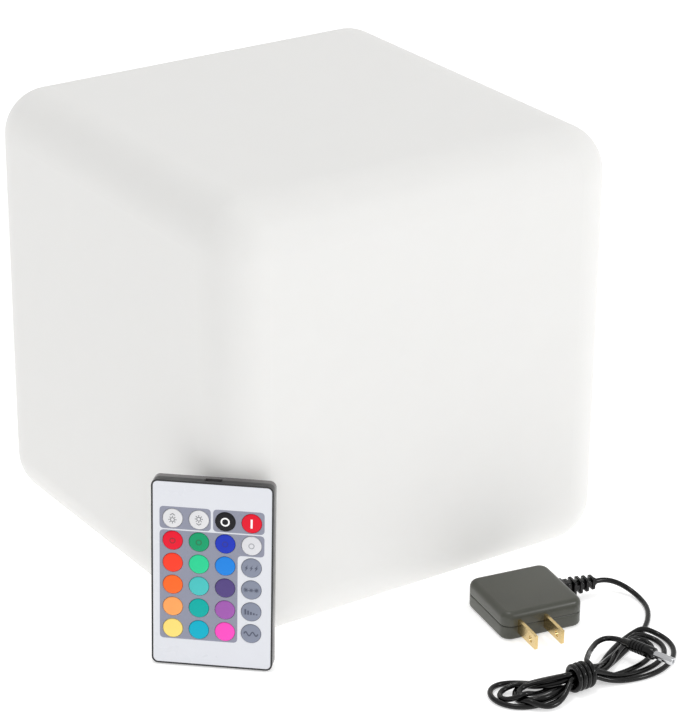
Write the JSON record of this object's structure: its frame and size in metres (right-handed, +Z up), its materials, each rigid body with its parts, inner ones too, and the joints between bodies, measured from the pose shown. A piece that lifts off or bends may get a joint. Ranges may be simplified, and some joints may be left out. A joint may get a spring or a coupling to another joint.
{
  "type": "floating pool light",
  "caption": "Floating cube light with rounded edges and a screwed-in light unit in its underside, a card remote control with round keys, and a plug-in charger with tied cord.",
  "frame": {"origin": "centre of the cube's underside, on the surface it stands on", "axes": "+Z up, +X and +Y square to the cube's sides; the remote stands off the -X -Y corner and the charger lies off the -Y side"},
  "size_m": [0.2324, 0.3187, 0.202],
  "materials": {
    "cube_polyethylene": "satin, translucent, rotationally moulded",
    "seal_rubber": "soft",
    "base_plastic": "fine moulded texture",
    "screw_steel": "stainless",
    "cup_plastic": "moulded",
    "cell_wrap": "shrink wrap",
    "wire_insulation": "insulated wire",
    "circuit_board": "solder mask",
    "black_component": "moulded component",
    "light_board": "white solder mask",
    "light_chip": "phosphor window",
    "clear_cover": "clear polycarbonate",
    "button_silicone": "soft silicone",
    "remote_black": "fine texture",
    "overlay_film": "printed film",
    "dome_steel": "snap domes",
    "emitter_resin": "tinted resin",
    "cell_steel": "button cell can",
    "charger_black": "fine spark texture",
    "carrier_black": "moulded",
    "blade_brass": "stamped brass",
    "coil_tape": "taped winding",
    "cord_pvc": "flexible PVC",
    "plug_nickel": "nickel plate",
    "key_brighter": "printed key cap",
    "key_dimmer": "printed key cap",
    "key_off": "printed key cap",
    "key_on": "printed key cap",
    "key_red": "printed key cap",
    "key_green": "printed key cap",
    "key_blue": "printed key cap",
    "key_white": "printed key cap",
    "key_flame": "printed key cap",
    "key_mint": "printed key cap",
    "key_azure": "printed key cap",
    "key_flash": "printed key cap",
    "key_orange": "printed key cap",
    "key_turquoise": "printed key cap",
    "key_indigo": "printed key cap",
    "key_strobe": "printed key cap",
    "key_apricot": "printed key cap",
    "key_teal": "printed key cap",
    "key_violet": "printed key cap",
    "key_fade": "printed key cap",
    "key_yellow": "printed key cap",
    "key_cyan": "printed key cap",
    "key_pink": "printed key cap",
    "key_smooth": "printed key cap"
  },
  "bodies": {
    "light": {"light_shell": "cube_polyethylene", "base_gasket": "seal_rubber", "base_cover": "base_plastic", "base_screws": "screw_steel", "module_cup": "cup_plastic", "battery_cradle": "cup_plastic", "battery_cells": "cell_wrap", "battery_leads": "wire_insulation", "control_board": "circuit_board", "power_switch": "black_component", "charge_socket": "black_component", "led_board": "light_board", "led_chips": "light_chip", "ir_receiver": "black_component", "led_lens": "clear_cover"},
    "button": {"power_button": "button_silicone"},
    "bung": {"socket_bung": "seal_rubber"},
    "remote": {"remote_front": "remote_black", "key_overlay": "overlay_film", "remote_board": "circuit_board", "key_domes": "dome_steel", "ir_emitter": "emitter_resin", "remote_back": "remote_black"},
    "cell_tray": {"cell_tray": "remote_black", "coin_cell": "cell_steel"},
    "key_brighter": {"key_brighter": "key_brighter"},
    "key_dimmer": {"key_dimmer": "key_dimmer"},
    "key_off": {"key_off": "key_off"},
    "key_on": {"key_on": "key_on"},
    "key_red": {"key_red": "key_red"},
    "key_green": {"key_green": "key_green"},
    "key_blue": {"key_blue": "key_blue"},
    "key_white": {"key_white": "key_white"},
    "key_flame": {"key_flame": "key_flame"},
    "key_mint": {"key_mint": "key_mint"},
    "key_azure": {"key_azure": "key_azure"},
    "key_flash": {"key_flash": "key_flash"},
    "key_orange": {"key_orange": "key_orange"},
    "key_turquoise": {"key_turquoise": "key_turquoise"},
    "key_indigo": {"key_indigo": "key_indigo"},
    "key_strobe": {"key_strobe": "key_strobe"},
    "key_apricot": {"key_apricot": "key_apricot"},
    "key_teal": {"key_teal": "key_teal"},
    "key_violet": {"key_violet": "key_violet"},
    "key_fade": {"key_fade": "key_fade"},
    "key_yellow": {"key_yellow": "key_yellow"},
    "key_cyan": {"key_cyan": "key_cyan"},
    "key_pink": {"key_pink": "key_pink"},
    "key_smooth": {"key_smooth": "key_smooth"},
    "charger": {"charger_bottom": "charger_black", "charger_top": "charger_black", "blade_carrier": "carrier_black", "blades": "blade_brass", "transformer": "coil_tape", "charger_board": "circuit_board", "strain_relief": "cord_pvc", "cord_lead": "cord_pvc", "cord_hank": "cord_pvc", "plug_grip": "cord_pvc", "plug_barrel": "plug_nickel"}
  },
  "joints": [
    {"name": "power_button_press", "type": "slide", "parent": "light", "child": "button", "axis": [0, 0, 1], "range_m": [0, 0.001], "stiffness_N_per_m": 600},
    {"name": "socket_bung_pull", "type": "slide", "parent": "light", "child": "bung", "axis": [0, 0, -1], "range_m": [0, 0.012]},
    {"name": "remote_lift", "type": "slide", "parent": "light", "child": "remote", "axis": [0, 0, 1], "range_m": [0, 0.06]},
    {"name": "cell_tray_pull", "type": "slide", "parent": "remote", "child": "cell_tray", "axis": [-0.0548, -0.0609, -0.9966], "range_m": [0, 0.024]},
    {"name": "key_brighter_press", "type": "slide", "parent": "remote", "child": "key_brighter", "axis": [0.6669, 0.7406, -0.0819], "range_m": [0, 0.00035], "stiffness_N_per_m": 800},
    {"name": "key_dimmer_press", "type": "slide", "parent": "remote", "child": "key_dimmer", "axis": [0.6669, 0.7406, -0.0819], "range_m": [0, 0.00035], "stiffness_N_per_m": 800},
    {"name": "key_off_press", "type": "slide", "parent": "remote", "child": "key_off", "axis": [0.6669, 0.7406, -0.0819], "range_m": [0, 0.00035], "stiffness_N_per_m": 800},
    {"name": "key_on_press", "type": "slide", "parent": "remote", "child": "key_on", "axis": [0.6669, 0.7406, -0.0819], "range_m": [0, 0.00035], "stiffness_N_per_m": 800},
    {"name": "key_red_press", "type": "slide", "parent": "remote", "child": "key_red", "axis": [0.6669, 0.7406, -0.0819], "range_m": [0, 0.00035], "stiffness_N_per_m": 800},
    {"name": "key_green_press", "type": "slide", "parent": "remote", "child": "key_green", "axis": [0.6669, 0.7406, -0.0819], "range_m": [0, 0.00035], "stiffness_N_per_m": 800},
    {"name": "key_blue_press", "type": "slide", "parent": "remote", "child": "key_blue", "axis": [0.6669, 0.7406, -0.0819], "range_m": [0, 0.00035], "stiffness_N_per_m": 800},
    {"name": "key_white_press", "type": "slide", "parent": "remote", "child": "key_white", "axis": [0.6669, 0.7406, -0.0819], "range_m": [0, 0.00035], "stiffness_N_per_m": 800},
    {"name": "key_flame_press", "type": "slide", "parent": "remote", "child": "key_flame", "axis": [0.6669, 0.7406, -0.0819], "range_m": [0, 0.00035], "stiffness_N_per_m": 800},
    {"name": "key_mint_press", "type": "slide", "parent": "remote", "child": "key_mint", "axis": [0.6669, 0.7406, -0.0819], "range_m": [0, 0.00035], "stiffness_N_per_m": 800},
    {"name": "key_azure_press", "type": "slide", "parent": "remote", "child": "key_azure", "axis": [0.6669, 0.7406, -0.0819], "range_m": [0, 0.00035], "stiffness_N_per_m": 800},
    {"name": "key_flash_press", "type": "slide", "parent": "remote", "child": "key_flash", "axis": [0.6669, 0.7406, -0.0819], "range_m": [0, 0.00035], "stiffness_N_per_m": 800},
    {"name": "key_orange_press", "type": "slide", "parent": "remote", "child": "key_orange", "axis": [0.6669, 0.7406, -0.0819], "range_m": [0, 0.00035], "stiffness_N_per_m": 800},
    {"name": "key_turquoise_press", "type": "slide", "parent": "remote", "child": "key_turquoise", "axis": [0.6669, 0.7406, -0.0819], "range_m": [0, 0.00035], "stiffness_N_per_m": 800},
    {"name": "key_indigo_press", "type": "slide", "parent": "remote", "child": "key_indigo", "axis": [0.6669, 0.7406, -0.0819], "range_m": [0, 0.00035], "stiffness_N_per_m": 800},
    {"name": "key_strobe_press", "type": "slide", "parent": "remote", "child": "key_strobe", "axis": [0.6669, 0.7406, -0.0819], "range_m": [0, 0.00035], "stiffness_N_per_m": 800},
    {"name": "key_apricot_press", "type": "slide", "parent": "remote", "child": "key_apricot", "axis": [0.6669, 0.7406, -0.0819], "range_m": [0, 0.00035], "stiffness_N_per_m": 800},
    {"name": "key_teal_press", "type": "slide", "parent": "remote", "child": "key_teal", "axis": [0.6669, 0.7406, -0.0819], "range_m": [0, 0.00035], "stiffness_N_per_m": 800},
    {"name": "key_violet_press", "type": "slide", "parent": "remote", "child": "key_violet", "axis": [0.6669, 0.7406, -0.0819], "range_m": [0, 0.00035], "stiffness_N_per_m": 800},
    {"name": "key_fade_press", "type": "slide", "parent": "remote", "child": "key_fade", "axis": [0.6669, 0.7406, -0.0819], "range_m": [0, 0.00035], "stiffness_N_per_m": 800},
    {"name": "key_yellow_press", "type": "slide", "parent": "remote", "child": "key_yellow", "axis": [0.6669, 0.7406, -0.0819], "range_m": [0, 0.00035], "stiffness_N_per_m": 800},
    {"name": "key_cyan_press", "type": "slide", "parent": "remote", "child": "key_cyan", "axis": [0.6669, 0.7406, -0.0819], "range_m": [0, 0.00035], "stiffness_N_per_m": 800},
    {"name": "key_pink_press", "type": "slide", "parent": "remote", "child": "key_pink", "axis": [0.6669, 0.7406, -0.0819], "range_m": [0, 0.00035], "stiffness_N_per_m": 800},
    {"name": "key_smooth_press", "type": "slide", "parent": "remote", "child": "key_smooth", "axis": [0.6669, 0.7406, -0.0819], "range_m": [0, 0.00035], "stiffness_N_per_m": 800},
    {"name": "charger_lift", "type": "slide", "parent": "light", "child": "charger", "axis": [0, 0, 1], "range_m": [0, 0.06]}
  ]
}
